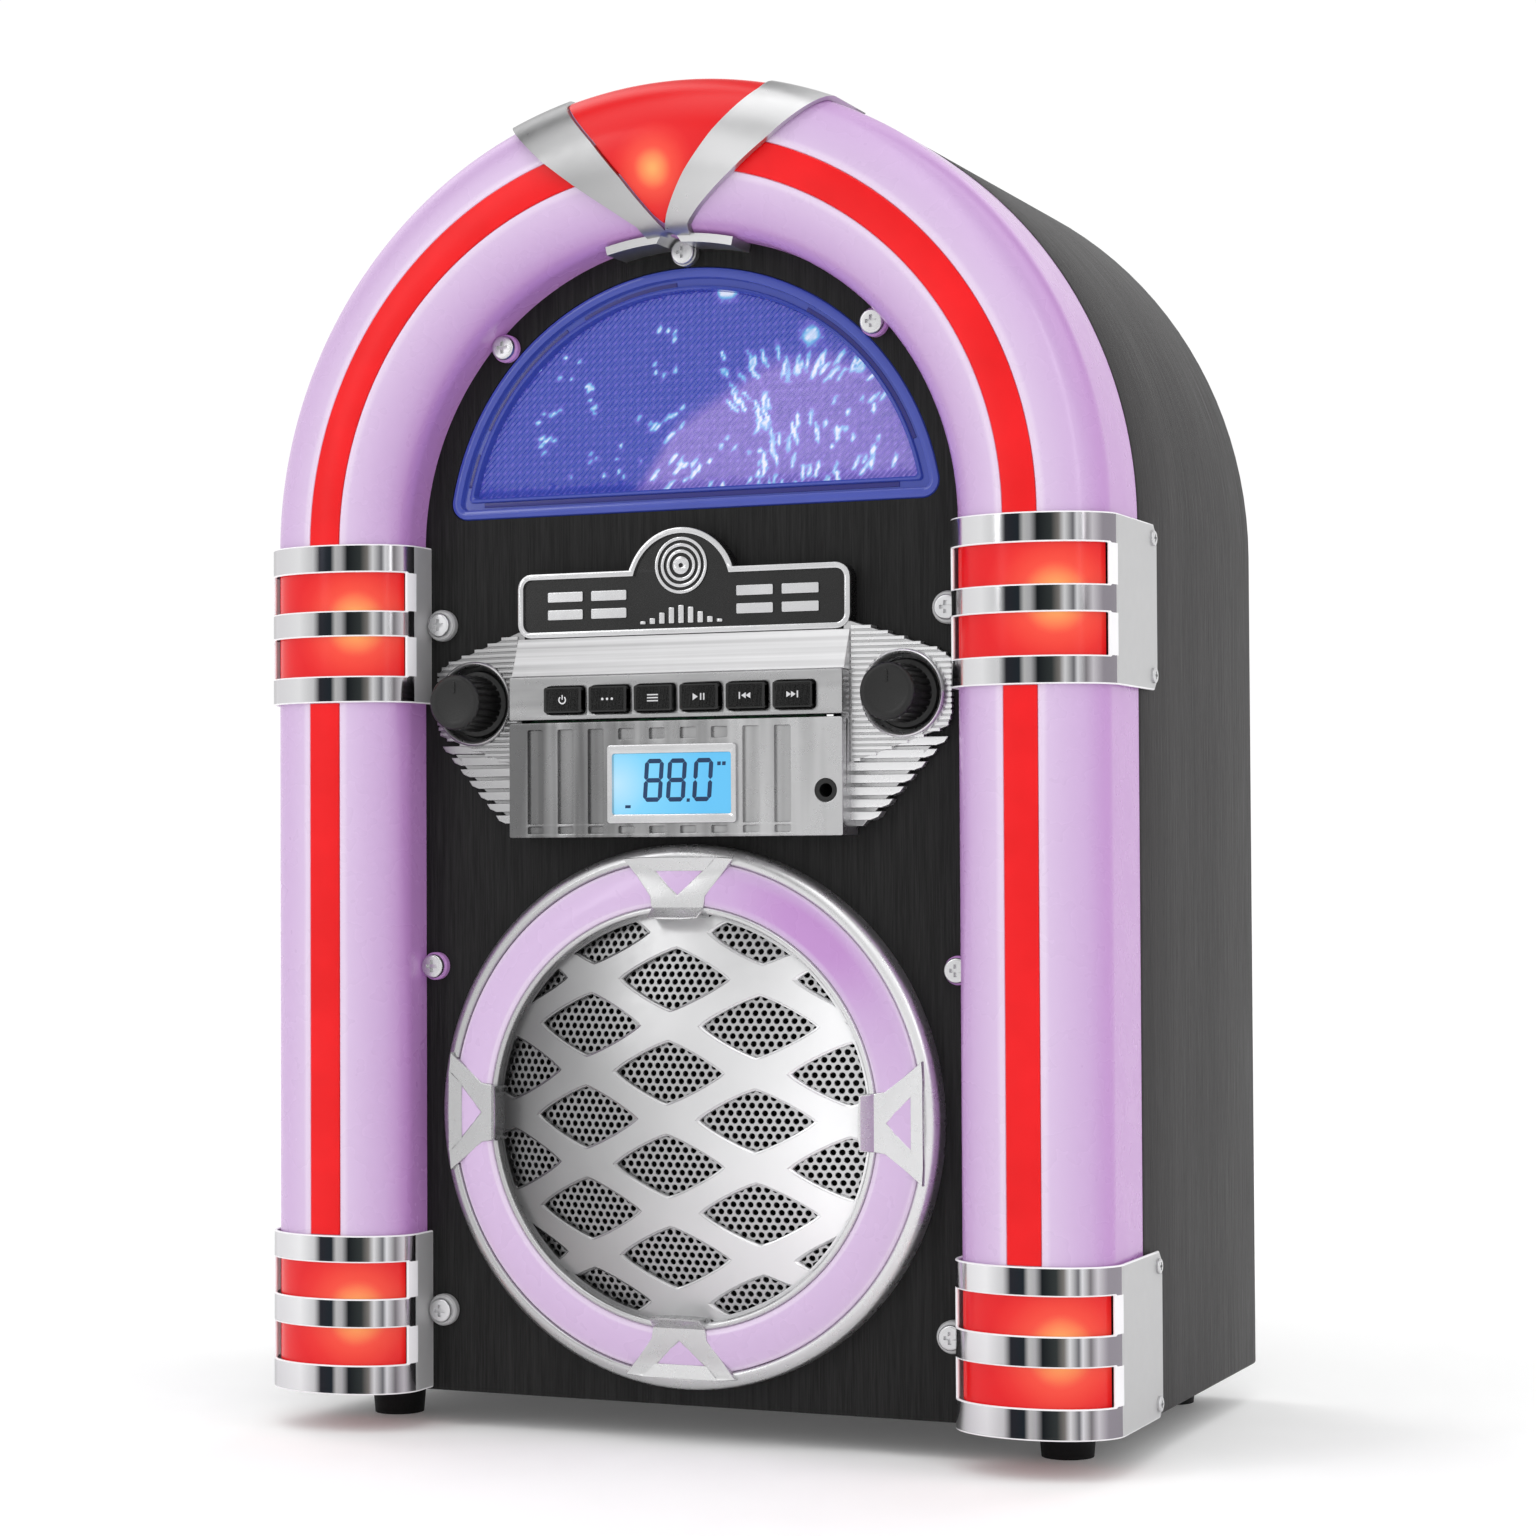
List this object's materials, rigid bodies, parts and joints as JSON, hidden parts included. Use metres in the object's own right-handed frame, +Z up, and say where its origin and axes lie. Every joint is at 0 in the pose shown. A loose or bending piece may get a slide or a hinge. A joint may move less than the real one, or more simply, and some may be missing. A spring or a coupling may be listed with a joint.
{
  "type": "tabletop jukebox radio",
  "caption": "Tabletop jukebox radio: arched cabinet with lilac light tubes, plated bands, blue dome window, control panel with knobs and buttons, and a round loudspeaker grille.",
  "frame": {"origin": "centre of the whole object's footprint, on the plane that the feet stand on", "axes": "+Z up, -Y out of the front baffle, +X to the right as seen from the front"},
  "size_m": [0.246, 0.15, 0.362],
  "materials": {
    "vinyl_board": "black wood-grain vinyl over fibreboard, satin",
    "rear_board": "black painted fibreboard, matt",
    "bare_board": "bare wood",
    "foot_rubber": "moulded rubber, matt",
    "lilac_tube": "frosted translucent lilac plastic, lit from behind",
    "red_stripe": "bright red plastic, semi-gloss",
    "band_plating": "chrome-plated plastic, polished",
    "red_lens": "clear red plastic, lit from behind",
    "blue_lens": "clear blue moulded plastic, glossy",
    "prism_film": "moulded prism pattern, sparkling",
    "satin_plating": "silver-plated plastic, satin",
    "plate_trim": "bright silver plating",
    "nameplate_black": "black, semi-gloss",
    "lcd_glass": "backlit liquid-crystal glass, glossy",
    "black_plastic": "moulded plastic, fine texture",
    "shaft_metal": "turned metal",
    "circuit_board": "printed circuit board",
    "mesh_steel": "perforated steel, silver",
    "basket_steel": "pressed steel, painted",
    "magnet_ferrite": "ferrite and steel",
    "surround_rubber": "moulded rubber",
    "cone_paper": "doped paper, matt",
    "screw_steel": "bright zinc-plated steel"
  },
  "bodies": {
    "cabinet": {"cabinet_shell": "vinyl_board", "front_baffle": "vinyl_board", "rear_panel": "rear_board", "corner_cleats": "bare_board", "rubber_feet": "foot_rubber", "column_tube_left": "lilac_tube", "column_tube_right": "lilac_tube", "arch_tube_left": "lilac_tube", "arch_tube_right": "lilac_tube", "ring_diffuser": "lilac_tube", "column_stripe_left": "red_stripe", "column_stripe_right": "red_stripe", "arch_stripe_left": "red_stripe", "arch_stripe_right": "red_stripe", "mid_band_left": "band_plating", "mid_band_right": "band_plating", "base_band_left": "band_plating", "base_band_right": "band_plating", "crown_trim": "band_plating", "mid_lens_left": "red_lens", "mid_lens_right": "red_lens", "base_lens_left": "red_lens", "base_lens_right": "red_lens", "crown_lens": "red_lens", "dome_lens": "blue_lens", "dome_prism_sheet": "prism_film", "control_panel": "satin_plating", "grille_frame": "satin_plating", "nameplate_trim": "plate_trim", "lcd_bezel": "plate_trim", "nameplate": "nameplate_black", "lcd_module": "lcd_glass", "aux_jack": "black_plastic", "connector_plate": "black_plastic", "dc_inlet": "black_plastic", "antenna_grommet": "black_plastic", "volume_control": "shaft_metal", "tuning_control": "shaft_metal", "control_board": "circuit_board", "main_board": "circuit_board", "dome_led_board": "circuit_board", "led_boards": "circuit_board", "grille_mesh": "mesh_steel", "speaker_basket": "basket_steel", "speaker_magnet": "magnet_ferrite", "speaker_surround": "surround_rubber", "trim_screws": "screw_steel", "band_side_screws": "screw_steel", "wood_screws": "screw_steel"},
    "volume_knob": {"volume_knob": "black_plastic", "volume_shaft": "shaft_metal"},
    "tuning_knob": {"tuning_knob": "black_plastic", "tuning_shaft": "shaft_metal"},
    "speaker_cone": {"speaker_cone": "cone_paper"},
    "button_power": {"button_power": "black_plastic"},
    "button_mode": {"button_mode": "black_plastic"},
    "button_memory": {"button_memory": "black_plastic"},
    "button_play": {"button_play": "black_plastic"},
    "button_previous": {"button_previous": "black_plastic"},
    "button_next": {"button_next": "black_plastic"}
  },
  "joints": [
    {"name": "volume_turn", "type": "hinge", "parent": "cabinet", "child": "volume_knob", "pos_m": [-0.0625, -0.06135, 0.1977], "axis": [0, 1, 0], "range_deg": [-140, 140]},
    {"name": "tuning_turn", "type": "hinge", "parent": "cabinet", "child": "tuning_knob", "pos_m": [0.0625, -0.06135, 0.1977], "axis": [0, 1, 0], "continuous": true},
    {"name": "press_power", "type": "slide", "parent": "cabinet", "child": "button_power", "axis": [0, 1, 0], "range_m": [0, 0.0008], "stiffness_N_per_m": 300, "springref_m": -0.0006},
    {"name": "press_mode", "type": "slide", "parent": "cabinet", "child": "button_mode", "axis": [0, 1, 0], "range_m": [0, 0.0008], "stiffness_N_per_m": 300, "springref_m": -0.0006},
    {"name": "press_memory", "type": "slide", "parent": "cabinet", "child": "button_memory", "axis": [0, 1, 0], "range_m": [0, 0.0008], "stiffness_N_per_m": 300, "springref_m": -0.0006},
    {"name": "press_play", "type": "slide", "parent": "cabinet", "child": "button_play", "axis": [0, 1, 0], "range_m": [0, 0.0008], "stiffness_N_per_m": 300, "springref_m": -0.0006},
    {"name": "press_previous", "type": "slide", "parent": "cabinet", "child": "button_previous", "axis": [0, 1, 0], "range_m": [0, 0.0008], "stiffness_N_per_m": 300, "springref_m": -0.0006},
    {"name": "press_next", "type": "slide", "parent": "cabinet", "child": "button_next", "axis": [0, 1, 0], "range_m": [0, 0.0008], "stiffness_N_per_m": 300, "springref_m": -0.0006},
    {"name": "cone_travel", "type": "slide", "parent": "cabinet", "child": "speaker_cone", "axis": [0, -1, 0], "range_m": [-0.0015, 0.0015], "stiffness_N_per_m": 600}
  ]
}
